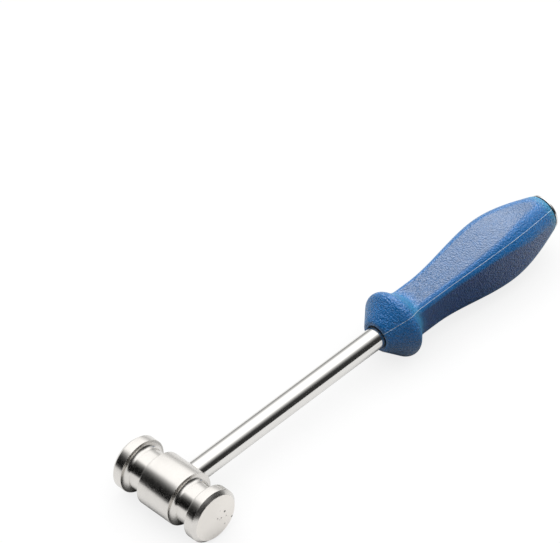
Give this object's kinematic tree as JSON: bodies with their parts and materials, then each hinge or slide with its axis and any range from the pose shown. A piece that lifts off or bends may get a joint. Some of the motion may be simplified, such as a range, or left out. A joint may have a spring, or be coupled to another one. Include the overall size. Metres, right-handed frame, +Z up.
{
  "type": "surgical mallet",
  "caption": "Bone mallet with a turned steel head, a round steel shaft and a moulded plastic grip, for striking chisels and osteotomes.",
  "frame": {"origin": "on the floor, under the middle of the mallet's bounding box, as it lies at rest on its head and its collar", "axes": "+X along the head towards one striking face, +Y along the shaft from the head to the grip, +Z up"},
  "size_m": [0.06, 0.2862, 0.0376],
  "materials": {
    "turned_steel": "satin, finely turned",
    "polished_steel": "polished stainless steel",
    "grip_plastic": "blue, fine leather grain",
    "cap_steel": "smooth"
  },
  "bodies": {
    "root": {"head": "turned_steel", "shaft": "polished_steel", "grip": "grip_plastic", "butt_cap": "cap_steel"}
  },
  "joints": []
}
